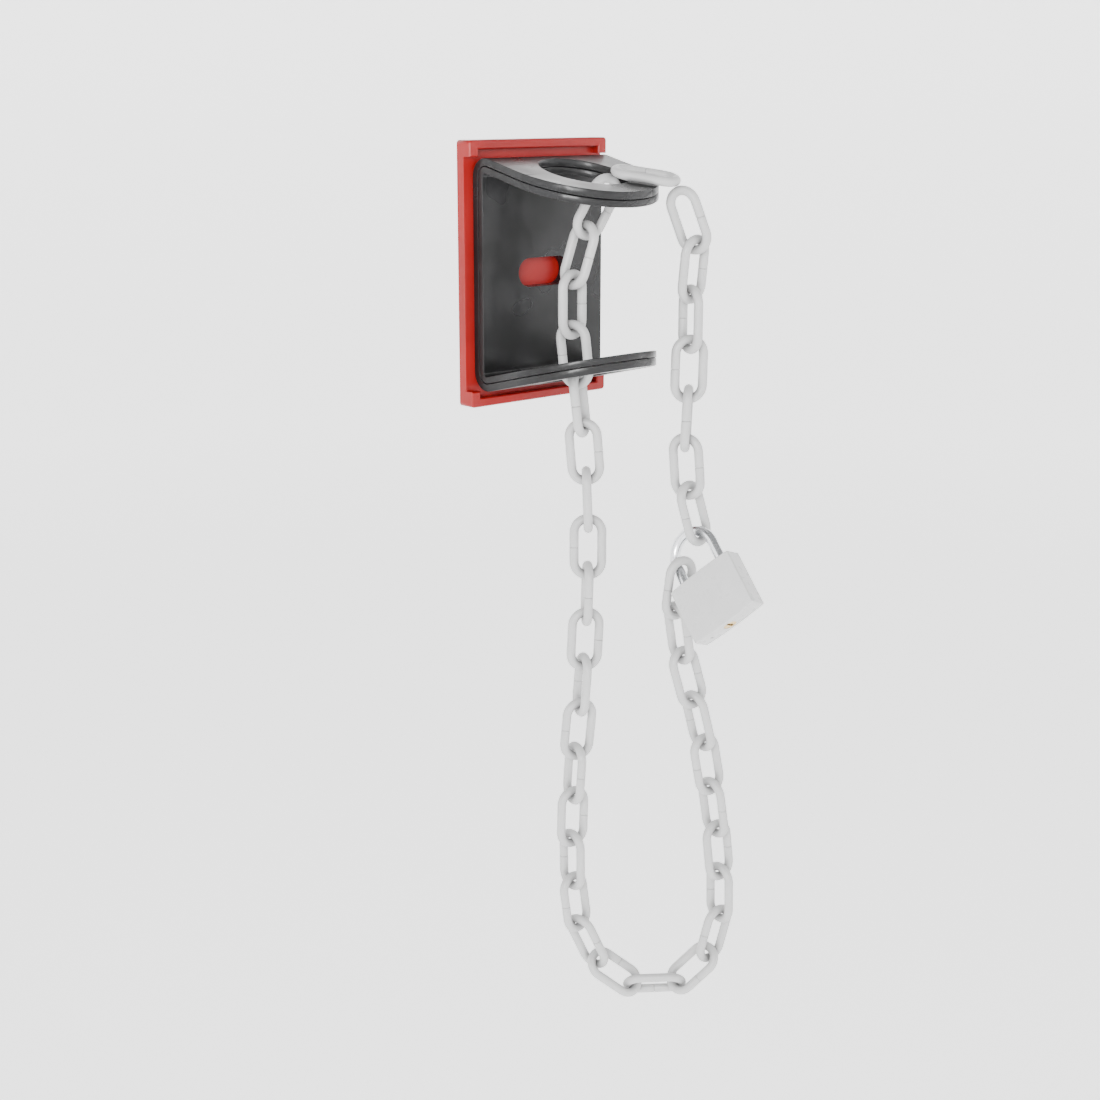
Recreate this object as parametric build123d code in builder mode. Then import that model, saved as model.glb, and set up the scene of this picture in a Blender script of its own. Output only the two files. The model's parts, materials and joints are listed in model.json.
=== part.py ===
"""Wall bracket with a closed loop of plastic chain and a padlock, in build123d (millimetres).

The origin is the middle of the wall plate's back face. X runs to the right along the wall,
+Y runs into the wall and +Z is up, so everything stands out towards -Y.
"""

from build123d import *
import math
import os

# ---- Driving dimensions ---------------------------------------------------------------------

# wall plate
PLATE_WIDTH = 115.0
PLATE_HEIGHT = 165.0
SLAB = 6.5  # thickness of the flat slab
RIM_DEPTH = 12.6  # from the wall to the front of the rims
RIM_HEIGHT = 5.5  # height of the top and bottom rims
CORNER_WIDTH = 7.0  # corner blocks, beside and below the rims
CORNER_HEIGHT = 10.0

# bracket: an outer steel U and an inner liner U
STEEL = 4.6
LINER = 4.2
LAYER_GAP = 0.4
BRACKET_WIDTH = 101.0
BRACKET_HEIGHT = 150.0  # outside of the steel U, at the bends
FLANGE_TILT = 13.5  # each flange leans towards the other
FLANGE_ROUND_Y = -47.0  # centre of the round front
HOLE_Y = -53.0  # centre of the large flange holes
HOLE_RADIUS = 28.0
BEND = 2.4  # inside bend radius
WINDOW_LENGTH = 42.0
WINDOW_HEIGHT = 18.0
ANCHOR_X = 35.0  # wall screw holes
ANCHOR_Z = 55.0
ANCHOR_RADIUS = 2.75
SINK_RADIUS = 5.0  # of the countersinks in the steel
PAD_X = 34.0  # bonding pads between the two layers
PAD_Z = 30.0
PAD_WIDTH = 22.0
PAD_HEIGHT = 14.0

# chain
ROD = 6.0
LINK_LENGTH = 44.0
LINK_WIDTH = 24.0
LINK_PLAY = 0.45
PITCH = LINK_LENGTH - 2 * ROD - LINK_PLAY
LOOP_AZIMUTH = 41.8  # the loop's plane, in degrees from +X towards -Y
RIGHT_LINKS = 7
LEFT_LINKS = 28

# padlock
LOCK_WIDTH = 50.0
LOCK_HEIGHT = 41.0
LOCK_DEPTH = 14.0
LOCK_CROWN = 0.9  # rise of the crowned top and bottom faces
SHACKLE_ROD = 7.0
SHACKLE_SPACING = 31.0
SHACKLE_STRAIGHT = 13.5  # above the body, up to the arch
SHACKLE_FIT = 0.12  # radial clearance of the shackle's legs
HEEL_DEPTH = 30.0  # heel leg inside the body
TOE_DEPTH = 9.0
LIFT = 10.0  # how far the body drops off the shackle when it is unlocked
STOP_PIN_DOWN = 16.0
STOP_PIN_FRONT = 4.0  # how far the pin reaches past the body's middle, from the back
PLUG_RADIUS = 4.3
PLUG_LENGTH = 24.0
CAM_RADIUS = 6.2
CAM_WAIST = 4.2
PIN_RADIUS = 1.3
PIN_PITCH = 4.2
PIN_COUNT = 4
BALL_RADIUS = 3.4
BALL_DOWN = 5.3
BALL_WIDE = 9.9  # from the middle of the body to a ball's centre, locked
BALL_TRAVEL = 1.5
KEY_OPEN = 90  # the key's turn from locked; every piece is modelled with the key open

os.makedirs("parts", exist_ok=True)


def save(name, piece):
    """Labels a finished piece and writes its STEP file."""
    piece.label = name
    export_step(piece, f"parts/{name}.step")


# ---- Wall plate -----------------------------------------------------------------------------

WALL = Plane(origin=(0, 0, 0), x_dir=(1, 0, 0), z_dir=(0, -1, 0))  # local z stands out of the wall
ANCHORS = [(x, z) for x in (-ANCHOR_X, ANCHOR_X) for z in (-ANCHOR_Z, ANCHOR_Z)]

with BuildPart() as wall_plate:
    with BuildSketch(WALL):
        RectangleRounded(PLATE_WIDTH, PLATE_HEIGHT, 2.2)
    extrude(amount=SLAB)
    with BuildSketch(WALL.offset(SLAB)):
        RectangleRounded(PLATE_WIDTH, PLATE_HEIGHT, 2.2)
        Rectangle(PLATE_WIDTH + 2, PLATE_HEIGHT - 2 * CORNER_HEIGHT, mode=Mode.SUBTRACT)
        Rectangle(PLATE_WIDTH - 2 * CORNER_WIDTH, PLATE_HEIGHT - 2 * RIM_HEIGHT, mode=Mode.SUBTRACT)
    extrude(amount=RIM_DEPTH - SLAB)
    front = wall_plate.faces().filter_by(Axis.Y).group_by(Axis.Y)[0]
    chamfer(front.edges(), 0.7)
    with Locations(WALL.offset(SLAB)):
        with Locations(*ANCHORS):
            Hole(ANCHOR_RADIUS)
save("wall_plate", wall_plate.part)


# ---- U bracket, two layers ------------------------------------------------------------------

STEEL_BACK = SLAB + 0.1


def flange_reach():
    """Distance of the flanges' tips from the wall."""
    return -(FLANGE_ROUND_Y - BRACKET_WIDTH / 2)


def u_layer(depth, thick, middle_radius):
    """One layer of the U, whose middle surface lies depth inside the steel's outer surface."""
    side = Plane(origin=(-BRACKET_WIDTH / 2, 0, 0), x_dir=(0, -1, 0), z_dir=(-1, 0, 0))
    tilt = math.radians(FLANGE_TILT)
    half = BRACKET_HEIGHT / 2 - depth / math.cos(tilt) - depth * math.tan(tilt)
    centre = STEEL_BACK + depth
    reach = flange_reach() + 12
    drop = (reach - centre) * math.tan(tilt)
    with BuildPart() as layer:
        with BuildSketch(side):
            with BuildLine():
                FilletPolyline(
                    (reach, half - drop), (centre, half), (centre, -half), (reach, -half + drop),
                    radius=middle_radius,
                )
            trace(line_width=thick)
        extrude(amount=-BRACKET_WIDTH)
        # the round front, cut straight down through both flanges
        with BuildSketch(Plane.XY.offset(-BRACKET_HEIGHT)):
            with BuildLine():
                half_width = BRACKET_WIDTH / 2
                Line((-half_width, 0), (half_width, 0))
                Line((half_width, 0), (half_width, FLANGE_ROUND_Y))
                ThreePointArc(
                    (half_width, FLANGE_ROUND_Y), (0, -flange_reach()), (-half_width, FLANGE_ROUND_Y)
                )
                Line((-half_width, FLANGE_ROUND_Y), (-half_width, 0))
            make_face()
        extrude(amount=2 * BRACKET_HEIGHT, mode=Mode.INTERSECT)
        with Locations((0, HOLE_Y, 0)):
            Cylinder(HOLE_RADIUS, 2 * BRACKET_HEIGHT, mode=Mode.SUBTRACT)
        with BuildSketch(WALL.offset(centre)):
            SlotOverall(WINDOW_LENGTH, WINDOW_HEIGHT)
        extrude(amount=thick, both=True, mode=Mode.SUBTRACT)
    return layer


with BuildPart() as steel_bracket:
    add(u_layer(STEEL / 2, STEEL, BEND + LINER + LAYER_GAP + STEEL / 2).part)
    with Locations(WALL.offset(STEEL_BACK + STEEL)):
        with Locations(*ANCHORS):
            top = (Align.CENTER, Align.CENTER, Align.MAX)
            Cylinder(ANCHOR_RADIUS, STEEL + 0.2, align=top, mode=Mode.SUBTRACT)
            Cone(ANCHOR_RADIUS, SINK_RADIUS, SINK_RADIUS - ANCHOR_RADIUS, align=top, mode=Mode.SUBTRACT)
save("steel_bracket", steel_bracket.part)

bracket_liner = u_layer(STEEL + LAYER_GAP + LINER / 2, LINER, BEND + LINER / 2)
save("bracket_liner", bracket_liner.part)

with BuildPart() as liner_pads:
    with BuildSketch(WALL.offset(STEEL_BACK + STEEL + 0.02)):
        with GridLocations(2 * PAD_X, 2 * PAD_Z, 2, 2):
            RectangleRounded(PAD_WIDTH, PAD_HEIGHT, 2)
    extrude(amount=LAYER_GAP - 0.04)
save("liner_pads", liner_pads.part)


# ---- Chain: where its links lie -------------------------------------------------------------

ALONG = Vector(math.cos(math.radians(LOOP_AZIMUTH)), -math.sin(math.radians(LOOP_AZIMUTH)), 0)
ACROSS = Vector(-ALONG.Y, ALONG.X, 0)  # square to the loop's plane, towards the wall
UP = Vector(0, 0, 1)
HALF = (LINK_LENGTH - ROD) / 2  # from a link's middle to the centre of its end


def at(along, height, across=0.0):
    """Point of the loop's plane, counted from the axis of the flange holes."""
    return Vector(0, HOLE_Y, 0) + ALONG * along + ACROSS * across + UP * height


def lean(degrees):
    """Downward direction in the loop's plane; positive leans away from the wall."""
    turn = math.radians(degrees)
    return ALONG * math.sin(turn) - UP * math.cos(turn)


class Place:
    """Where one link lies: its middle, its long direction and its width direction."""

    def __init__(self, middle, long, roll):
        self.middle = middle
        self.long = long.normalized()
        in_plane = self.long.cross(ACROSS).normalized()
        level = in_plane.cross(self.long).normalized()
        turn = math.radians(roll)
        self.wide = in_plane * math.cos(turn) + level * math.sin(turn)

    def end(self, sign):
        """Centre of the rod at one end of the link."""
        return self.middle + self.long * (sign * HALF)


def rolled(link_long, rod_direction):
    """Roll at which a link's end lies square across a rod."""
    wide = link_long.cross(rod_direction).normalized()
    plain = Place(Vector(0, 0, 0), link_long, 0)
    level = Place(Vector(0, 0, 0), link_long, 90)
    return math.degrees(math.atan2(wide.dot(level.wide), wide.dot(plain.wide)))


def hung(contacts, rolls, before):
    """Places of the links between contacts, each turned half way into the bend at its ends."""
    steps = [(b - a).normalized() for a, b in zip(contacts, contacts[1:])]
    print("bends", [round(a.get_angle(b)) for a, b in zip(steps, steps[1:])])
    between = [(a + b).normalized() for a, b in zip(steps, steps[1:])]
    bends = [(before + steps[0]).normalized(), *between, steps[-1]]
    reach = (ROD + LINK_PLAY) / 2
    starts = [contact - bend * reach for contact, bend in zip(contacts, bends)]
    ends = [contact + bend * reach for contact, bend in zip(contacts[1:], bends[1:])]
    return [Place((a + b) * 0.5, b - a, roll) for a, b, roll in zip(starts, ends, rolls)]


def walk(route, start, steps, pitch):
    """Contacts along a smooth line, a straight pitch apart, and how much of the line they used."""
    contacts = [start]
    used = 0.0
    for _ in range(steps):
        low, high = used, min(used + 1.6 * pitch / route.length, 1.4)
        for _ in range(40):
            middle = (low + high) / 2
            if (route.position_at(min(middle, 1.0)) - contacts[-1]).length < pitch and middle < 1:
                low = middle
            else:
                high = middle
        used = high
        contacts.append(route.position_at(min(used, 1.0)))
    return contacts, used


# the flat link that lies on the upper flange's rim and carries both strands
RIM_LINK_ALONG = 37.5
flange_lean = math.radians(FLANGE_TILT)
flange_normal = Vector(0, -math.sin(flange_lean), math.cos(flange_lean))
rim_long = (ALONG - flange_normal * ALONG.dot(flange_normal)).normalized()
flange_top = Vector(0, -STEEL_BACK, BRACKET_HEIGHT / 2)
rim_foot = at(RIM_LINK_ALONG, 0)
rim_foot = rim_foot + UP * ((flange_top - rim_foot).dot(flange_normal) / flange_normal.Z)
rim_rest = rim_foot + flange_normal * (ROD / 2 + LINK_PLAY)
rim_link = Place(rim_rest, rim_long, rolled(rim_long, -flange_normal))

# the padlock hangs turned on the chain: its own axes, in the loop's along, across and up
LOCK_WIDE = (ALONG * 0.687 - ACROSS * 0.308 + UP * 0.658).normalized()
LOCK_DOWN = ALONG * 0.377 - ACROSS * 0.626 - UP * 0.685
LOCK_DOWN = (LOCK_DOWN - LOCK_WIDE * LOCK_DOWN.dot(LOCK_WIDE)).normalized()
LOCK_FRONT = LOCK_DOWN.cross(LOCK_WIDE).normalized()
LOCK_TOP = at(78.0, -188.2, -13.0)  # middle of the body's top face


def in_lock(wide, down, front=0.0):
    """Point in the padlock's own frame."""
    return LOCK_TOP + LOCK_WIDE * wide + LOCK_DOWN * down + LOCK_FRONT * front


ARCH_TURN = math.radians(44)  # where the upper strand sits on the shackle's arch
arch = SHACKLE_SPACING / 2
upper_seat = in_lock(arch * math.sin(ARCH_TURN), -SHACKLE_STRAIGHT - arch * math.cos(ARCH_TURN))
lower_seat = in_lock(-arch, -SHACKLE_STRAIGHT - 1.0)
SEAT = (ROD + SHACKLE_ROD) / 2 + 0.3

arch_tangent = LOCK_WIDE * math.cos(ARCH_TURN) + LOCK_DOWN * math.sin(ARCH_TURN)


def beside_rod(seat, link_long, rod_direction, sign):
    """Centre of a link's end that lies against the shackle, square to both rods."""
    apart = link_long - rod_direction * link_long.dot(rod_direction)
    return seat + apart.normalized() * (sign * SEAT)


HANG = 3.2  # both strands sit this far to one side on the rim link's rounded ends
RIGHT_GAP = 0.12  # between the rim link and each strand's first link
LEFT_GAP = 0.45


def rim_seat(sign):
    """Centre of the rim link's rod where a strand hangs on it."""
    bow = (LINK_WIDTH - ROD) / 2
    inset = bow - math.sqrt(bow * bow - HANG * HANG)
    return rim_link.end(sign) - rim_link.long * (sign * inset) - rim_link.wide * (HANG * sign)


# right strand: rim link, seven links, shackle
right_top = lean(20)
right_first = rim_seat(1) + right_top * (ROD + RIGHT_GAP + HALF)
right_start = right_first + right_top * (HALF - ROD / 2 - LINK_PLAY / 2)
right_end = beside_rod(upper_seat, lean(13), arch_tangent, 1) - lean(13) * ((ROD + LINK_PLAY) / 2)

# left strand: rim link, one link through the hole, 28 links round to the shackle
left_top = lean(-27)
left_first = rim_seat(-1) + left_top * (ROD + LEFT_GAP + HALF)
left_start = left_first + left_top * (HALF - ROD / 2 - LINK_PLAY / 2)
left_end = beside_rod(lower_seat, lean(-13), LOCK_DOWN, -1) + lean(-13) * ((ROD + LINK_PLAY) / 2)

right_route = [right_start, at(68, 2), at(67.5, -62), at(65.5, -108), right_end]
left_route = [
    left_start, at(-6.5, 4), at(-7.5, -27), at(-2.5, -75), at(3, -135), at(3.5, -205), at(0.5, -270),
    at(-5, -340), at(-6, -385), at(-5, -422), at(2, -455), at(22, -482), at(50, -492), at(77, -482.5),
    at(93, -455), at(96, -420), at(90, -360), at(76, -285), at(62, -228), left_end,
]


def contacts_along(points, steps):
    """Evenly spaced contacts from the first point of a route to its last."""
    route = Edge.make_spline(points)
    low, high = 0.9 * PITCH, 1.1 * PITCH
    for _ in range(40):
        pitch = (low + high) / 2
        used = walk(route, points[0], steps, pitch)[1]
        if used < 1:
            low = pitch
        else:
            high = pitch
    print(f"pitch {pitch:.3f}, wanted {PITCH:.3f}")
    return walk(route, points[0], steps, low)[0]


right_contacts = contacts_along(right_route, RIGHT_LINKS - 1)
left_contacts = contacts_along(left_route, LEFT_LINKS)

# how each link is turned about its own length; 0 shows its full width square to the loop
RIM_ROLL = -35
last_right = rolled(right_contacts[-1] - right_contacts[-2], arch_tangent)
last_left = rolled(left_contacts[-1] - left_contacts[-2], LOCK_DOWN)
print(f"rolls at the padlock {last_right:.1f} and {last_left:.1f}")
right_rolls = [45, 118, 190, 262, 330, last_right]
left_rolls = [-48, 48, 150, 252, 354, 450] + [540 + 95.5 * i for i in range(10)]
turns_left = LEFT_LINKS - len(left_rolls)
last_step = 90 + ((last_left - left_rolls[-1]) % 180) / turns_left
last_step -= 180 / turns_left * round((last_step - 90) * turns_left / 180)
left_rolls += [left_rolls[-1] + last_step * (i + 1) for i in range(turns_left)]
print(f"twist of the last links {last_step - 90:.1f}, end {(left_rolls[-1] - last_left) % 180:.1f}")

right_places = hung(right_contacts, right_rolls, right_top)
left_places = hung(left_contacts, left_rolls, left_top)
places = [rim_link, Place(right_first, right_top, RIM_ROLL), *right_places, *reversed(left_places)]
places.append(Place(left_first, left_top, -RIM_ROLL))


# ---- Chain: the links -----------------------------------------------------------------------

def chain_link(place):
    """One moulded link: a round rod bent to a stadium, with its split half way along one side."""
    flat = Plane(origin=place.middle, x_dir=place.long, z_dir=place.long.cross(place.wide))
    bow = (LINK_WIDTH - ROD) / 2
    straight = HALF - bow
    side = place.middle + place.wide * bow
    with BuildPart() as link:
        with BuildLine(flat):
            Line((0, bow), (straight, bow))
            ThreePointArc((straight, bow), (HALF, 0), (straight, -bow))
            Line((straight, -bow), (-straight, -bow))
            ThreePointArc((-straight, -bow), (-HALF, 0), (-straight, bow))
            Line((-straight, bow), (0, bow))
        with BuildSketch(Plane(origin=side, z_dir=place.long)):
            Circle(ROD / 2)
        sweep()
        with BuildSketch(Plane(origin=side - place.long * 0.2, z_dir=place.long)):
            Circle(ROD / 2 + 0.5)
            Circle(ROD / 2 - 0.4, mode=Mode.SUBTRACT)
        extrude(amount=0.4, mode=Mode.SUBTRACT)
    return link.part


for number, place in enumerate(places, 1):
    save(f"chain_link_{number:02d}", chain_link(place))


# ---- Padlock --------------------------------------------------------------------------------

LOCK = Plane(origin=LOCK_TOP, x_dir=LOCK_WIDE, z_dir=-LOCK_DOWN)  # x wide, y to the back, z up
LOCK_FACE = Plane(origin=LOCK_TOP, x_dir=LOCK_WIDE, z_dir=LOCK_FRONT)  # x wide, y up
leg = SHACKLE_SPACING / 2
pin_downs = [LOCK_HEIGHT - 4.5 - PIN_PITCH * i for i in range(PIN_COUNT)]
key_axis = Axis(LOCK_TOP, LOCK_DOWN)
stop_pin_end = in_lock(-leg + 3.9, STOP_PIN_DOWN, STOP_PIN_FRONT)


def sideways(wide, down):
    """Plane square to the body's width."""
    return Plane(origin=in_lock(wide, down), x_dir=LOCK_DOWN, z_dir=LOCK_WIDE)


def upward(down, wide=0.0):
    """Plane square to the body's height, facing up."""
    return Plane(origin=in_lock(wide, down), x_dir=LOCK_WIDE, z_dir=-LOCK_DOWN)


with BuildPart() as lock_body:
    with BuildSketch(LOCK_FACE):
        with BuildLine():
            side_low = -LOCK_HEIGHT + LOCK_CROWN
            corner = LOCK_WIDTH / 2
            Line((-corner, side_low), (-corner, -LOCK_CROWN))
            ThreePointArc((-corner, -LOCK_CROWN), (0, 0), (corner, -LOCK_CROWN))
            Line((corner, -LOCK_CROWN), (corner, side_low))
            ThreePointArc((corner, side_low), (0, -LOCK_HEIGHT), (-corner, side_low))
        make_face()
    extrude(amount=LOCK_DEPTH / 2, both=True)
    fillet(lock_body.edges(), 0.9)
    for wide, depth in ((-leg, HEEL_DEPTH + 8.0), (leg, TOE_DEPTH + 0.6)):
        with BuildSketch(upward(depth, wide)):
            Circle(SHACKLE_ROD / 2 + SHACKLE_FIT)
        extrude(amount=depth + 1, mode=Mode.SUBTRACT)
    with BuildSketch(upward(LOCK_HEIGHT + 1)):
        Circle(PLUG_RADIUS + 0.08)
    extrude(amount=PLUG_LENGTH + 2, mode=Mode.SUBTRACT)
    with BuildSketch(upward(LOCK_HEIGHT - PLUG_LENGTH)):
        Circle(CAM_RADIUS + 0.1)
    extrude(amount=LOCK_HEIGHT - PLUG_LENGTH - 1.6, mode=Mode.SUBTRACT)
    with BuildSketch(sideways(-leg, BALL_DOWN)):
        Circle(BALL_RADIUS + 0.05)
    extrude(amount=2 * leg, mode=Mode.SUBTRACT)
    for down in pin_downs:
        with BuildSketch(sideways(0, down)):
            Circle(PIN_RADIUS + 0.08)
        extrude(amount=LOCK_WIDTH, mode=Mode.SUBTRACT)
    with BuildSketch(Plane(origin=stop_pin_end, z_dir=LOCK_FRONT)):
        Circle(1.0)
    extrude(amount=-LOCK_DEPTH, mode=Mode.SUBTRACT)  # drilled from the back
    with BuildSketch(upward(LOCK_HEIGHT + 1, -leg)):
        Circle(1.1)  # drain hole under the heel
    extrude(amount=LOCK_HEIGHT, mode=Mode.SUBTRACT)
save("lock_body", lock_body.part)

with BuildPart() as shackle:
    with BuildLine(LOCK_FACE):
        Line((-leg, -HEEL_DEPTH), (-leg, SHACKLE_STRAIGHT))
        ThreePointArc((-leg, SHACKLE_STRAIGHT), (0, SHACKLE_STRAIGHT + leg), (leg, SHACKLE_STRAIGHT))
        Line((leg, SHACKLE_STRAIGHT), (leg, -TOE_DEPTH))
    with BuildSketch(upward(HEEL_DEPTH, -leg)):
        Circle(SHACKLE_ROD / 2)
    sweep()
    chamfer(shackle.faces().filter_by(GeomType.PLANE).edges(), 0.7)
    with Locations(*[in_lock(side * BALL_WIDE, BALL_DOWN) for side in (-1, 1)]):
        Sphere(BALL_RADIUS + 0.1, mode=Mode.SUBTRACT)
    with BuildSketch(upward(STOP_PIN_DOWN + LIFT + 1.4, -leg + 3.6)):
        Rectangle(1.8, 9)
    extrude(amount=LIFT + 2.8, mode=Mode.SUBTRACT)  # flat that runs past the stop pin
save("shackle", shackle.part)

with BuildPart() as lock_cylinder:
    with BuildSketch(upward(LOCK_HEIGHT - 0.3)):
        Circle(PLUG_RADIUS)
    extrude(amount=PLUG_LENGTH)
    with BuildSketch(upward(LOCK_HEIGHT)):
        Rectangle(6.6, 1.5)
        with Locations((-1.2, 0.9)):
            Rectangle(2.0, 1.2)
    extrude(amount=PLUG_LENGTH - 4, mode=Mode.SUBTRACT)
    for down in pin_downs:
        with BuildSketch(sideways(0.4, down)):
            Circle(PIN_RADIUS + 0.06)
        extrude(amount=PLUG_RADIUS + 1, mode=Mode.SUBTRACT)
save("lock_cylinder", lock_cylinder.part.rotate(key_axis, KEY_OPEN))

cam_low = LOCK_HEIGHT - PLUG_LENGTH - 0.5
with BuildPart() as cylinder_clip:
    with BuildSketch(upward(cam_low)):
        Circle(CAM_RADIUS - 0.7)
        Rectangle(3.1, 1.7, mode=Mode.SUBTRACT)
    extrude(amount=1.2)
save("cylinder_clip", cylinder_clip.part.rotate(key_axis, KEY_OPEN))

with BuildPart() as cylinder_cam:
    with BuildSketch(upward(cam_low)):
        Rectangle(3.0, 1.6)
    extrude(amount=1.2)
    with BuildSketch(upward(cam_low - 1.2)):
        Ellipse(CAM_RADIUS, CAM_WAIST)
    extrude(amount=cam_low - 1.2 - 2.0)
save("cylinder_cam", cylinder_cam.part.rotate(key_axis, KEY_OPEN))

for name, side in (("locking_ball_heel", -1), ("locking_ball_toe", 1)):
    with BuildPart() as locking_ball:
        with Locations(in_lock(side * (BALL_WIDE - BALL_TRAVEL), BALL_DOWN)):
            Sphere(BALL_RADIUS)
    save(name, locking_ball.part)

with BuildPart() as heel_stop_pin:
    with BuildSketch(Plane(origin=stop_pin_end - LOCK_FRONT * 0.02, z_dir=LOCK_FRONT)):
        Circle(0.97)
    extrude(amount=-(LOCK_DEPTH / 2 + STOP_PIN_FRONT - 0.04))
save("heel_stop_pin", heel_stop_pin.part)


def pin_row(start, end, radius):
    """One round pin in each pin bore, from start to end across the body's width."""
    with BuildPart() as row:
        for down in pin_downs:
            with BuildSketch(sideways(start, down)):
                Circle(radius)
            extrude(amount=end - start)
    return row.part


SHEAR = PLUG_RADIUS + 0.15
DRIVER_END = SHEAR + 4.6
SPRING_END = 20.5
save("key_pins", pin_row(1.1, PLUG_RADIUS - 0.3, PIN_RADIUS).rotate(key_axis, KEY_OPEN))
save("driver_pins", pin_row(SHEAR, DRIVER_END, PIN_RADIUS))
save("pin_bore_caps", pin_row(SPRING_END + 0.1, LOCK_WIDTH / 2 - 0.02, PIN_RADIUS + 0.05))


def spring(base, length, turns, radius, wire):
    """Coil spring that stands on a plane."""
    path = Helix(length / turns, length, radius, center=base.origin, direction=base.z_dir)
    with BuildPart() as coil:
        with BuildSketch(Plane(origin=path @ 0, z_dir=path % 0)):
            Circle(wire / 2)
        sweep(path=path)
    return coil.part


heel_gap = 8.0
save("heel_spring", spring(upward(HEEL_DEPTH + heel_gap - 0.5, -leg), heel_gap - 1.0, 5, 2.5, 0.8))

with BuildPart() as pin_springs:
    for down in pin_downs:
        add(spring(sideways(DRIVER_END + 0.3, down), SPRING_END - DRIVER_END - 0.6, 7, 0.95, 0.45))
save("pin_springs", pin_springs.part)
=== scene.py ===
"""Chain-and-padlock wall bracket: the looks of each piece, and the stage they are shown on."""

import json
import math

import bmesh
import bpy
import numpy as np
from bpy.props import FloatProperty, FloatVectorProperty
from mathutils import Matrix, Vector


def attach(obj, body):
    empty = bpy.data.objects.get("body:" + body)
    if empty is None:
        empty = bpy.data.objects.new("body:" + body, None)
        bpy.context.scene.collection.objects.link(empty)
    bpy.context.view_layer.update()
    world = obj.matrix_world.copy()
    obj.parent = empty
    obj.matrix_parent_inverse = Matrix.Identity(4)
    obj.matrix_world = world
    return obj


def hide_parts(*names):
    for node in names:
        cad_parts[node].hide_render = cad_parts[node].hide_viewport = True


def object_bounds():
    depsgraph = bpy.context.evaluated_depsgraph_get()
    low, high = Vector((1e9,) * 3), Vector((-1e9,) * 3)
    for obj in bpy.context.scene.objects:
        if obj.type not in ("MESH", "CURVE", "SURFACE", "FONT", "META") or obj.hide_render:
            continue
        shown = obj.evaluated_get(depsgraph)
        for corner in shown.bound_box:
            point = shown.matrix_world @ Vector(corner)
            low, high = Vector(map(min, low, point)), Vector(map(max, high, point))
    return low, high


bl_info = {
    "name": "Chain bracket",
    "version": (1, 0, 0),
    "blender": (4, 5, 0),
    "location": "View3D > Sidebar > Chain bracket",
    "description": "Finishes a wall bracket with a looped plastic chain and a padlock",
    "category": "Object",
}

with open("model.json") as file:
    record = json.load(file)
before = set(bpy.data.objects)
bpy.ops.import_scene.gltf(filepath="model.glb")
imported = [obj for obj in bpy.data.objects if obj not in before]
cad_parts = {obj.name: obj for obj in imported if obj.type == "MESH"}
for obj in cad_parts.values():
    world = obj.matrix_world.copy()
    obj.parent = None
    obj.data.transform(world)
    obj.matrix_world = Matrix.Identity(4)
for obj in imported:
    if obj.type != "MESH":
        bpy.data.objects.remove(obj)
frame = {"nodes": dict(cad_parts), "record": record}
CAD_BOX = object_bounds()
NODES = frame["nodes"]
BODY_OF = {node: body for body, nodes in frame["record"]["behaviour"]["bodies"].items()
           for node in nodes}


# ---- Values a user would change -------------------------------------------------------------

class PlasticSettings(bpy.types.PropertyGroup):
    """Moulded plastic of the wall plate and the chain."""

    plate_red: FloatVectorProperty(
        name="Plate red", description="Colour of the wall plate", subtype="COLOR",
        size=3, min=0, max=1, default=(0.24, 0.0065, 0.006))
    chain_white: FloatVectorProperty(
        name="Chain white", description="Colour of the chain links", subtype="COLOR",
        size=3, min=0, max=1, default=(0.42, 0.42, 0.419))
    grain: FloatProperty(
        name="Grain", description="Size of the plate's moulded grain", subtype="DISTANCE",
        unit="LENGTH", min=0.0001, max=0.01, default=0.0006)
    seam_width: FloatProperty(
        name="Mould line", description="Width of the raised mould line round a link",
        subtype="DISTANCE", unit="LENGTH", min=0.0, max=0.002, default=0.0005)


class BracketSettings(bpy.types.PropertyGroup):
    """Coating of the U-shaped bracket."""

    coat_black: FloatVectorProperty(
        name="Coating black", description="Colour of the bracket's coating", subtype="COLOR",
        size=3, min=0, max=1, default=(0.005, 0.005, 0.0053))
    roughness: FloatProperty(
        name="Roughness", description="Roughness of the coating", subtype="FACTOR",
        min=0, max=1, default=0.3)


class LockSettings(bpy.types.PropertyGroup):
    """Finishes of the padlock."""

    case_white: FloatVectorProperty(
        name="Case white", description="Colour of the coated lock body", subtype="COLOR",
        size=3, min=0, max=1, default=(0.46, 0.46, 0.46))
    steel: FloatVectorProperty(
        name="Steel", description="Colour of the plated shackle", subtype="COLOR",
        size=3, min=0, max=1, default=(0.74, 0.75, 0.77))
    brass: FloatVectorProperty(
        name="Brass", description="Colour of the key cylinder", subtype="COLOR",
        size=3, min=0, max=1, default=(0.74, 0.55, 0.27))


class StageSettings(bpy.types.PropertyGroup):
    """Floor, main lamp and camera."""

    floor_grey: FloatProperty(
        name="Floor", description="Brightness of the floor", subtype="FACTOR",
        min=0, max=1, default=0.9)
    glow: FloatProperty(
        name="Backlight", description="Strength of the light behind the paper",
        min=0, max=10, default=1.25)
    lens: FloatProperty(
        name="Lens", description="Focal length of the camera in millimetres",
        min=20, max=200, default=57.3)
    key_power: FloatProperty(
        name="Key lamp", description="Power of the main lamp in watts",
        min=0, max=500, default=34.0)


# ---- Node helpers ---------------------------------------------------------------------------

CLOUD_STOPS = (0.3, 0.7)  # the share of a noise at which a colour is darkest and lightest
EDGE_SAMPLES = 6
EDGE_TURN = (0.75, 0.995)  # cosine of a surface's turn at a fully worn and an unworn place


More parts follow.
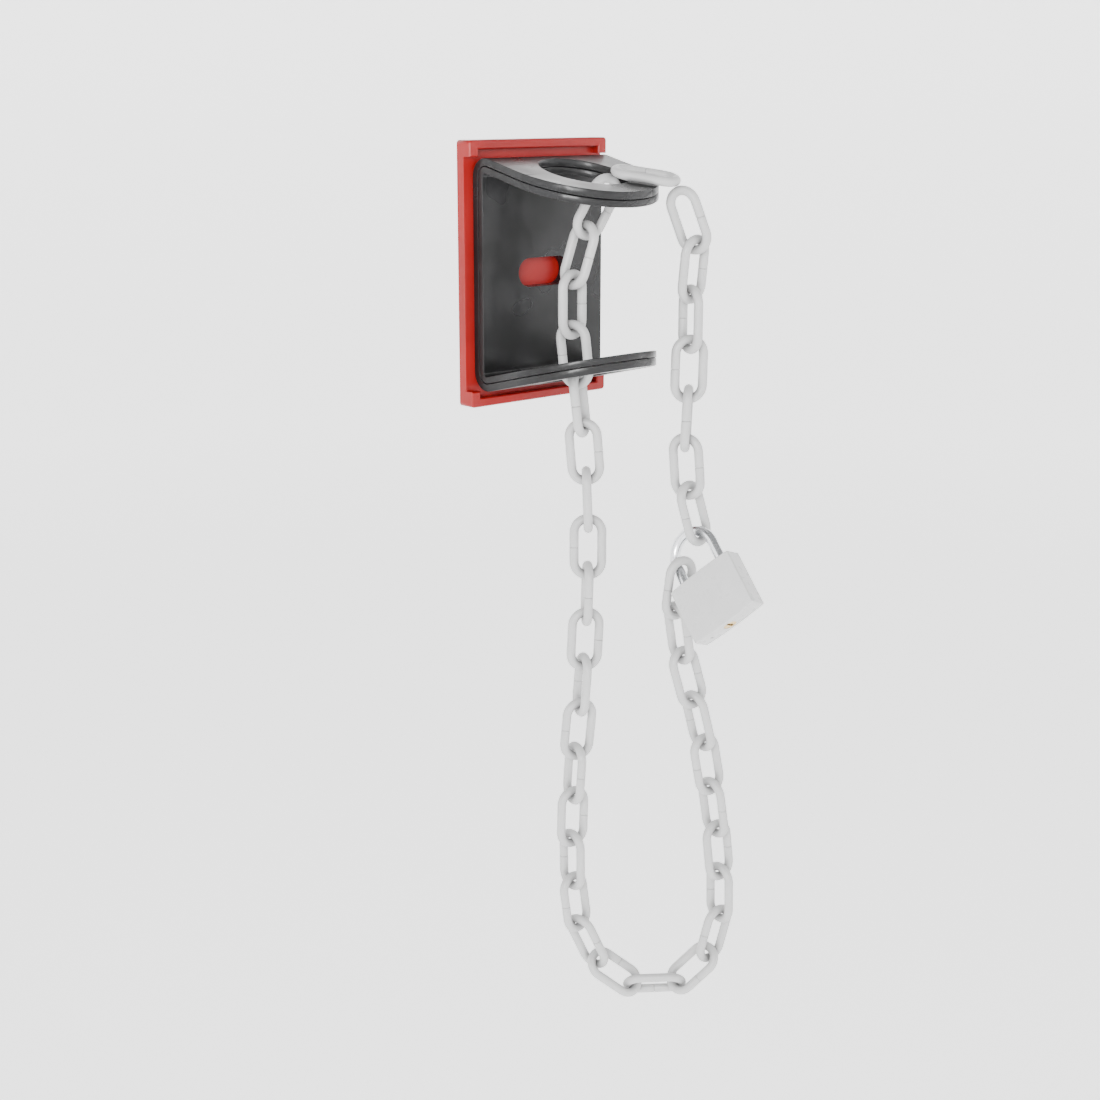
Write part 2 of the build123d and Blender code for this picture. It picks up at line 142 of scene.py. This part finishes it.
class Shader:
    """A node material that is built up step by step."""

    def __init__(self, name):
        self.material = bpy.data.materials.new(name)
        self.material.use_nodes = True
        self.tree = self.material.node_tree
        self.tree.nodes.clear()
        self.surface = self.node("ShaderNodeBsdfPrincipled")
        output = self.node("ShaderNodeOutputMaterial")
        self.link(self.surface.outputs["BSDF"], output.inputs["Surface"])
        self.place = self.node("ShaderNodeTexCoord").outputs["Object"]

    def node(self, kind, **values):
        made = self.tree.nodes.new(kind)
        for key, value in values.items():
            if hasattr(made, key):
                setattr(made, key, value)
            else:
                made.inputs[key.replace("_", " ")].default_value = value
        return made

    def link(self, source, target):
        self.tree.links.new(source, target)

    def set(self, **values):
        for key, value in values.items():
            self.surface.inputs[key.replace("_", " ")].default_value = value

    def noise(self, scale, detail=3.0, rough=0.5, stretch=None):
        """Noise in the piece's own metres; scale is in repeats per metre."""
        made = self.node("ShaderNodeTexNoise", Scale=scale, Detail=detail, Roughness=rough)
        source = self.place
        if stretch:
            mapping = self.node("ShaderNodeMapping")
            mapping.inputs["Scale"].default_value = stretch
            self.link(self.place, mapping.inputs["Vector"])
            source = mapping.outputs["Vector"]
        self.link(source, made.inputs["Vector"])
        return made.outputs["Fac"]

    def ramp(self, source, stops):
        """Maps a value through coloured stops: (place, (r, g, b))."""
        made = self.node("ShaderNodeValToRGB")
        elements = made.color_ramp.elements
        while len(elements) < len(stops):
            elements.new(0.5)
        for element, (place, colour) in zip(elements, stops):
            element.position = place
            element.color = (*colour, 1)
        self.link(source, made.inputs["Fac"])
        return made.outputs["Color"]

    def cloud(self, colour, scale, detail, dark, light):
        """A colour that drifts between a darker and a lighter shade of itself."""
        shades = [shade(colour, dark), shade(colour, light)]
        return self.ramp(self.noise(scale, detail), list(zip(CLOUD_STOPS, shades)))

    def span(self, source, low, high, from_low=CLOUD_STOPS[0], from_high=CLOUD_STOPS[1]):
        """Maps a value onto the range low to high."""
        made = self.node("ShaderNodeMapRange")
        made.inputs["From Min"].default_value = from_low
        made.inputs["From Max"].default_value = from_high
        made.inputs["To Min"].default_value = low
        made.inputs["To Max"].default_value = high
        self.link(source, made.inputs["Value"])
        return made.outputs["Result"]

    def blend(self, share, first, second):
        """Mixes two colours by a share."""
        made = self.node("ShaderNodeMix", data_type="RGBA", blend_type="MIX")
        for socket, value in ((made.inputs[0], share), (made.inputs[6], first),
                              (made.inputs[7], second)):
            if isinstance(value, bpy.types.NodeSocket):
                self.link(value, socket)
            elif isinstance(value, (int, float)):
                socket.default_value = value
            else:
                socket.default_value = (*value, 1)
        return made.outputs[2]

    def bump(self, height, distance, strength=1.0, below=None):
        """Adds a bump of a real height in metres, on top of an earlier one."""
        made = self.node("ShaderNodeBump", Strength=strength, Distance=distance)
        self.link(height, made.inputs["Height"])
        if below is not None:
            self.link(below, made.inputs["Normal"])
        return made.outputs["Normal"]

    def edges(self, radius):
        """Share that is high along convex edges, for wear."""
        made = self.node("ShaderNodeBevel", samples=EDGE_SAMPLES)
        made.inputs["Radius"].default_value = radius
        geometry = self.node("ShaderNodeNewGeometry")
        dot = self.node("ShaderNodeVectorMath", operation="DOT_PRODUCT")
        self.link(made.outputs["Normal"], dot.inputs[0])
        self.link(geometry.outputs["Normal"], dot.inputs[1])
        return self.span(dot.outputs["Value"], 1, 0, *EDGE_TURN)


def shade(colour, factor):
    """A colour made darker or lighter."""
    return tuple(min(1.0, c * factor) for c in colour)


# ---- Finishes -------------------------------------------------------------------------------

# noise scales are in repeats per metre, and bump heights and edge radii are in metres

def red_plastic(settings):
    """Satin moulded red: faint flow marks, fine grain, slightly paler rubbed edges."""
    s = Shader("red_moulded_plastic")
    red = settings.plate_red
    worn = s.blend(s.edges(0.0006), s.cloud(red, 28, 4, 0.86, 1.1), shade(red, 1.3))
    s.link(worn, s.surface.inputs["Base Color"])
    s.link(s.span(s.noise(60, 5), 0.3, 0.42), s.surface.inputs["Roughness"])
    grain = s.bump(s.noise(1 / settings.grain, 2), 0.00002, 0.5)
    s.link(s.bump(s.noise(45, 2), 0.0002, 0.25, grain), s.surface.inputs["Normal"])
    s.set(Specular_IOR_Level=0.25, Coat_Weight=0.05, Coat_Roughness=0.25)
    return s.material


def black_coat(settings):
    """Semi-gloss black coating with an orange-peel surface and softly smudged sheen."""
    s = Shader("black_bracket_coating")
    black = settings.coat_black
    smudge = s.noise(24, 2)
    tone = s.ramp(smudge, [(0.36, shade(black, 0.5)), (0.66, shade(black, 2.6))])
    worn = s.blend(s.edges(0.0004), tone, shade(black, 3.0))
    s.link(worn, s.surface.inputs["Base Color"])
    dull, shiny = settings.roughness + 0.16, settings.roughness - 0.08
    s.link(s.span(smudge, dull, shiny, 0.35, 0.65), s.surface.inputs["Roughness"])
    peel = s.bump(s.noise(900, 1), 0.00003, 0.5)
    s.link(s.bump(s.noise(35, 1), 0.0003, 0.35, peel), s.surface.inputs["Normal"])
    s.set(Specular_IOR_Level=0.25, Coat_Weight=0.12, Coat_Roughness=0.12)
    return s.material


# painted shade between the links: how far it reaches, how open a shaded nook and an open side
# are, and its samples
PAINTED_SHADE_REACH = 0.009  # how far a neighbour darkens a link, in metres
PAINTED_SHADE_OPEN = (0.25, 0.9)  # how open a deep nook and an open side are
PAINTED_SHADE_SAMPLES = 8


def chain_plastic(settings):
    """White moulded plastic with faint flow clouds, a little see-through, with painted shade in
    its nooks.
    """
    s = Shader("white_chain_plastic")
    white = settings.chain_white
    # painted shade: the white is darkened where neighbouring links crowd a link, standing in for
    # the shade that falls between them
    shade_probe = s.node("ShaderNodeAmbientOcclusion", samples=PAINTED_SHADE_SAMPLES, Distance=PAINTED_SHADE_REACH)
    shade_share = s.span(shade_probe.outputs["AO"], 0.75, 0, *PAINTED_SHADE_OPEN)
    painted_shade_colour = s.blend(shade_share, s.cloud(white, 40, 4, 0.965, 1.03), shade(white, 0.35))
    s.link(painted_shade_colour, s.surface.inputs["Base Color"])
    s.link(s.span(s.noise(90, 4), 0.28, 0.42), s.surface.inputs["Roughness"])
    fine = s.bump(s.noise(1600, 2), 0.00001, 0.5)
    s.link(s.bump(s.noise(120, 2), 0.00008, 0.3, fine), s.surface.inputs["Normal"])
    s.set(Subsurface_Weight=0.03, Subsurface_Radius=(0.002, 0.0018, 0.0016), Subsurface_Scale=0.3,
          Specular_IOR_Level=0.35)
    return s.material


def lock_case(settings):
    """White baked coating over the lock's brass body."""
    s = Shader("white_lock_coating")
    white = settings.case_white
    worn = s.blend(s.edges(0.0005), s.cloud(white, 55, 3, 0.96, 1.02), shade(white, 1.1))
    s.link(worn, s.surface.inputs["Base Color"])
    s.link(s.span(s.noise(150, 4), 0.24, 0.36), s.surface.inputs["Roughness"])
    s.link(s.bump(s.noise(1100, 1), 0.00002, 0.6), s.surface.inputs["Normal"])
    s.set(Coat_Weight=0.4, Coat_Roughness=0.12)
    return s.material


def bright_steel(settings):
    """Plated steel with fine polishing marks."""
    s = Shader("plated_steel")
    s.link(s.cloud(settings.steel, 70, 4, 0.92, 1.06), s.surface.inputs["Base Color"])
    marks = s.noise(260, 3, 0.6, stretch=(1, 1, 6))
    s.link(s.span(marks, 0.16, 0.3), s.surface.inputs["Roughness"])
    s.link(s.bump(marks, 0.00001, 0.5), s.surface.inputs["Normal"])
    s.set(Metallic=1.0)
    return s.material


def turned_brass(settings):
    """Turned brass, a little dulled."""
    s = Shader("turned_brass")
    s.link(s.cloud(settings.brass, 180, 4, 0.75, 1.08), s.surface.inputs["Base Color"])
    s.link(s.span(s.noise(500, 3), 0.22, 0.4), s.surface.inputs["Roughness"])
    s.link(s.bump(s.noise(2500, 2), 0.00001, 0.6), s.surface.inputs["Normal"])
    s.set(Metallic=1.0)
    return s.material


FOAM_GREY = (0.02, 0.02, 0.02)


def pad_foam():
    """Dark closed-cell bonding foam."""
    s = Shader("bonding_foam")
    s.link(s.cloud(FOAM_GREY, 2500, 2, 1.0, 3.5), s.surface.inputs["Base Color"])
    s.link(s.bump(s.noise(2500, 2), 0.00005, 1.0), s.surface.inputs["Normal"])
    s.set(Roughness=0.9)
    return s.material


# ---- Meshes ---------------------------------------------------------------------------------

WELD_GAP = 1e-6
SHARP_ANGLE = math.radians(40)
BEVEL_STEPS = 2
PLATE_EDGE = 0.0006
COATED_EDGE = 0.0004


def dress(node, material, soften=0.0):
    """Gives a CAD node its finish, and rounds its sharp edges if asked, in metres."""
    piece = NODES[node]
    piece.data.materials.clear()
    piece.data.materials.append(material)
    if soften:
        weld = piece.modifiers.new("weld", "WELD")
        weld.merge_threshold = WELD_GAP
        bevel = piece.modifiers.new("soft_edges", "BEVEL")
        bevel.width = soften
        bevel.segments = BEVEL_STEPS
        bevel.limit_method = "ANGLE"
        bevel.angle_limit = SHARP_ANGLE
        bevel.harden_normals = True


def new_piece(name, points, faces, material, body):
    """Makes a smooth-shaded mesh piece that rides on a body."""
    mesh = bpy.data.meshes.new(name)
    mesh.from_pydata([tuple(p) for p in points], [], faces)
    mesh.polygons.foreach_set("use_smooth", [True] * len(mesh.polygons))
    mesh.materials.append(material)
    mesh.update()
    piece = bpy.data.objects.new(name, mesh)
    bpy.context.scene.collection.objects.link(piece)
    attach(piece, body)
    return piece


def solid_axes(node):
    """Middle, three axes from long to thin, half sizes and points of a solid node.

    The axes come from the solid's second moments, added up over the tetrahedra that its
    triangles make with the origin.
    """
    mesh = NODES[node].data
    points = np.array([v.co for v in mesh.vertices])
    mesh.calc_loop_triangles()
    corners = points[np.array([t.vertices for t in mesh.loop_triangles])]
    volumes = np.einsum("ij,ij->i", corners[:, 0], np.cross(corners[:, 1], corners[:, 2])) / 6
    total = volumes.sum()
    sums = corners.sum(1)
    middle = (volumes[:, None] * sums / 4).sum(0) / total
    second = (np.einsum("i,ij,ik->jk", volumes, sums, sums)
              + np.einsum("i,iaj,iak->jk", volumes, corners, corners)) / 20
    spread, axes = np.linalg.eigh(second / total - np.outer(middle, middle))
    axes = axes[:, np.argsort(-spread)].T
    local = points @ axes.T
    low, high = local.min(0), local.max(0)
    return (low + high) / 2 @ axes, axes, (high - low) / 2, points


# across a link's split: millimetres from its middle, and the rod's thickness there as a share
SPLIT_STATIONS = ((0.5, 1.0), (0.3, 0.985), (0.2, 0.95), (0.19, 0.86), (0.0, 0.86))
SPLIT_REACH = 0.0006  # half the length, in metres, in which a CAD link's points show its split
ARC_STEPS = 18
ROUND_STEPS = 28
ROD_SHARE = 0.978  # the smooth rod's share of the CAD rod's thickness
SEAM_SHARE = 0.018  # what the mould line adds to it
THINNEST_SEAM = 1e-6


def link_outline(half_length, half_width, rod):
    """Stations round a link: where the rod's middle is, which way is out, and how thick it is."""
    bow = half_width - rod
    straight = half_length - half_width
    split = [(mm / 1000, thick) for mm, thick in SPLIT_STATIONS]
    stations = [((-x, bow), (0, 1), thick) for x, thick in split]
    stations += [((x, bow), (0, 1), thick) for x, thick in reversed(split[:-1])]
    for sign in (1, -1):
        for step in range(ARC_STEPS + 1):
            turn = sign * math.pi / 2 - step * math.pi / ARC_STEPS
            out = (math.cos(turn), math.sin(turn))
            stations.append(((sign * straight + bow * out[0], bow * out[1]), out, 1.0))
    return stations


def build_link(number, material, seam):
    """A moulded link with its split and a fine mould line, in its CAD node's place."""
    node = f"chain_link_{number:02d}"
    middle, (long, wide, thin), (half_length, half_width, rod), points = solid_axes(node)
    local = points - middle
    near = np.abs(local @ long) < SPLIT_REACH
    if (local[near] @ wide).mean() < 0:
        wide = -wide
    thin = np.cross(long, wide)
    made = []
    for (x, y), (out_x, out_y), thick in link_outline(half_length, half_width, rod):
        centre = middle + long * x + wide * y
        out = long * out_x + wide * out_y
        for step in range(ROUND_STEPS):
            turn = 2 * math.pi * step / ROUND_STEPS
            off_seam = math.sin(turn) * rod / max(seam, THINNEST_SEAM)
            radius = rod * thick * (ROD_SHARE + SEAM_SHARE * math.exp(-off_seam ** 2))
            made.append(centre + (out * math.cos(turn) + thin * math.sin(turn)) * radius)
    rings = len(made) // ROUND_STEPS
    faces = []
    for ring in range(rings):
        after = (ring + 1) % rings
        for step in range(ROUND_STEPS):
            beside = (step + 1) % ROUND_STEPS
            faces.append((ring * ROUND_STEPS + step, after * ROUND_STEPS + step,
                          after * ROUND_STEPS + beside, ring * ROUND_STEPS + beside))
    piece = new_piece(f"link_{number:02d}", made, faces, material, BODY_OF[node])
    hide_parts(node)


# ---- Operators ------------------------------------------------------------------------------

class CHAIN_OT_wall_plate(bpy.types.Operator):
    """Finish the moulded red wall plate"""
    bl_idname = "chain_bracket.wall_plate"
    bl_label = "Wall plate"

    def execute(self, context):
        dress("wall_plate", red_plastic(context.scene.bracket_plastic), PLATE_EDGE)
        return {"FINISHED"}


class CHAIN_OT_bracket(bpy.types.Operator):
    """Finish the black bracket, its liner and the pads between them"""
    bl_idname = "chain_bracket.bracket"
    bl_label = "Bracket and liner"

    def execute(self, context):
        coat = black_coat(context.scene.bracket_coating)
        for node in ("steel_bracket", "bracket_liner"):
            dress(node, coat, COATED_EDGE)
        dress("liner_pads", pad_foam())
        return {"FINISHED"}


class CHAIN_OT_chain(bpy.types.Operator):
    """Make every link of the plastic chain"""
    bl_idname = "chain_bracket.chain"
    bl_label = "Chain links"

    def execute(self, context):
        settings = context.scene.bracket_plastic
        material = chain_plastic(settings)
        count = sum(node.startswith("chain_link_") for node in NODES)
        for number in range(1, count + 1):
            build_link(number, material, settings.seam_width)
        return {"FINISHED"}


class CHAIN_OT_padlock(bpy.types.Operator):
    """Finish the padlock's body, shackle, cylinder and inner parts"""
    bl_idname = "chain_bracket.padlock"
    bl_label = "Padlock"

    def execute(self, context):
        settings = context.scene.bracket_lock
        case = lock_case(settings)
        for node in ("lock_body", "heel_stop_pin", "pin_bore_caps"):
            dress(node, case)
        steel = bright_steel(settings)
        yellow = turned_brass(settings)
        for node in ("shackle", "cylinder_cam", "cylinder_clip", "locking_ball_heel",
                     "locking_ball_toe", "heel_spring", "pin_springs"):
            dress(node, steel)
        for node in ("lock_cylinder", "key_pins", "driver_pins"):
            dress(node, yellow)
        return {"FINISHED"}


# ---- Stage ----------------------------------------------------------------------------------

# each lamp's share of the power, its width, and its place from the part's middle: ahead as the
# camera looks, to the right and above, in metres
LAMPS = {
    "key": (1.0, 0.5, -1.6, -0.35, 0.55),
    "low_fill": (0.06, 1.2, -1.4, 0.7, -0.35),
    "sky": (0.12, 1.0, 1.3, 0.0, 1.1),
}
WORLD_STRENGTH = 0.5
SENSOR_WIDTH = 36
CAMERA_PLACE = Vector((-0.7492, -0.8599, 0.1103))
CAMERA_HEADING = math.radians(41.79)
CAMERA_PITCH = math.radians(14.63)
FLOOR_DROP = 0.35
STAGE_REACH = 4.0
BACKDROP_BEND = 1.2
BEND_STEPS = 12
STAGE_SIDES = 64
MERGE_GAP = 1e-5


def floor_material(grey, glow):
    """Plain matt paper that glows softly, as a lit studio sweep does."""
    s = Shader("pale_paper")
    s.link(s.cloud((grey,) * 3, 6, 2, 0.99, 1.0), s.surface.inputs["Base Color"])
    s.set(Roughness=0.95, Specular_IOR_Level=0.1, Emission_Color=(1, 1, 1, 1),
          Emission_Strength=glow)
    return s.material


def build_floor(height, grey, glow):
    """A round sheet of paper, flat under the part, that bends up far away on every side."""
    profile = [(0.0, 0.0), (STAGE_REACH, 0.0)]
    for step in range(1, BEND_STEPS + 1):
        turn = step / BEND_STEPS * math.pi / 2
        profile.append((STAGE_REACH + BACKDROP_BEND * math.sin(turn),
                        BACKDROP_BEND * (1 - math.cos(turn))))
    profile.append((STAGE_REACH + BACKDROP_BEND, STAGE_REACH))
    mesh = bmesh.new()
    line = [mesh.verts.new((out, 0, up + height)) for out, up in profile]
    edges = [mesh.edges.new(pair) for pair in zip(line, line[1:])]
    bmesh.ops.spin(mesh, geom=line + edges, cent=(0, 0, 0), axis=(0, 0, 1), angle=2 * math.pi,
                   steps=STAGE_SIDES, use_merge=True)
    bmesh.ops.remove_doubles(mesh, verts=mesh.verts, dist=MERGE_GAP)
    bmesh.ops.recalc_face_normals(mesh, faces=mesh.faces)
    data = bpy.data.meshes.new("floor")
    mesh.to_mesh(data)
    mesh.free()
    data.polygons.foreach_set("use_smooth", [True] * len(data.polygons))
    data.materials.append(floor_material(grey, glow))
    floor = bpy.data.objects.new("floor", data)
    bpy.context.scene.collection.objects.link(floor)


def lamp(name, power, size, place, target):
    """A square soft light that points at a target."""
    light = bpy.data.lights.new(name, "AREA")
    light.energy = power
    light.size = size
    made = bpy.data.objects.new(name, light)
    made.location = place
    made.rotation_euler = (Vector(target) - Vector(place)).to_track_quat("-Z", "Y").to_euler()
    bpy.context.scene.collection.objects.link(made)


class CHAIN_OT_stage(bpy.types.Operator):
    """Set up the floor, the lights and the camera"""
    bl_idname = "chain_bracket.stage"
    bl_label = "Stage"

    def execute(self, context):
        settings = context.scene.bracket_stage
        low, high = CAD_BOX
        build_floor(low.z - FLOOR_DROP, settings.floor_grey, settings.glow)
        middle = (low + high) / 2
        forward = Vector((math.sin(CAMERA_HEADING), math.cos(CAMERA_HEADING), 0))
        right = Vector((forward.y, -forward.x, 0))
        up = Vector((0, 0, 1))
        power = settings.key_power
        for name, (share, size, ahead, aside, above) in LAMPS.items():
            place = middle + forward * ahead + right * aside + up * above
            lamp(name, power * share, size, place, middle)

        camera = bpy.data.cameras.new("camera")
        camera.lens = settings.lens
        camera.sensor_width = SENSOR_WIDTH
        eye = bpy.data.objects.new("camera", camera)
        eye.location = CAMERA_PLACE
        eye.rotation_euler = (math.pi / 2 - CAMERA_PITCH, 0, -CAMERA_HEADING)
        context.scene.collection.objects.link(eye)
        context.scene.camera = eye

        world = bpy.data.worlds.new("studio")
        world.use_nodes = True
        backdrop = world.node_tree.nodes["Background"]
        backdrop.inputs["Color"].default_value = (1, 1, 1, 1)
        backdrop.inputs["Strength"].default_value = WORLD_STRENGTH
        context.scene.world = world
        return {"FINISHED"}


class CHAIN_PT_panel(bpy.types.Panel):
    """Lists the pieces in the order they are made"""
    bl_idname = "CHAIN_PT_panel"
    bl_label = "Chain bracket"
    bl_space_type = "VIEW_3D"
    bl_region_type = "UI"
    bl_category = "Chain bracket"

    def draw(self, context):
        for operator in OPERATORS:
            self.layout.operator(operator.bl_idname)
        for name in SETTINGS:
            group = getattr(context.scene, name)
            for value in group.__annotations__:
                self.layout.prop(group, value)


OPERATORS = (CHAIN_OT_wall_plate, CHAIN_OT_bracket, CHAIN_OT_chain, CHAIN_OT_padlock,
             CHAIN_OT_stage)
SETTINGS = {"bracket_plastic": PlasticSettings, "bracket_coating": BracketSettings,
            "bracket_lock": LockSettings, "bracket_stage": StageSettings}
CLASSES = (*SETTINGS.values(), *OPERATORS, CHAIN_PT_panel)


def register():
    for cls in CLASSES:
        bpy.utils.register_class(cls)
    for name, group in SETTINGS.items():
        setattr(bpy.types.Scene, name, bpy.props.PointerProperty(type=group))


def unregister():
    for name in SETTINGS:
        delattr(bpy.types.Scene, name)
    for cls in reversed(CLASSES):
        bpy.utils.unregister_class(cls)


def main():
    register()
    for operator in OPERATORS:
        group, name = operator.bl_idname.split(".")
        getattr(getattr(bpy.ops, group), name)()


if __name__ == "__main__":
    main()
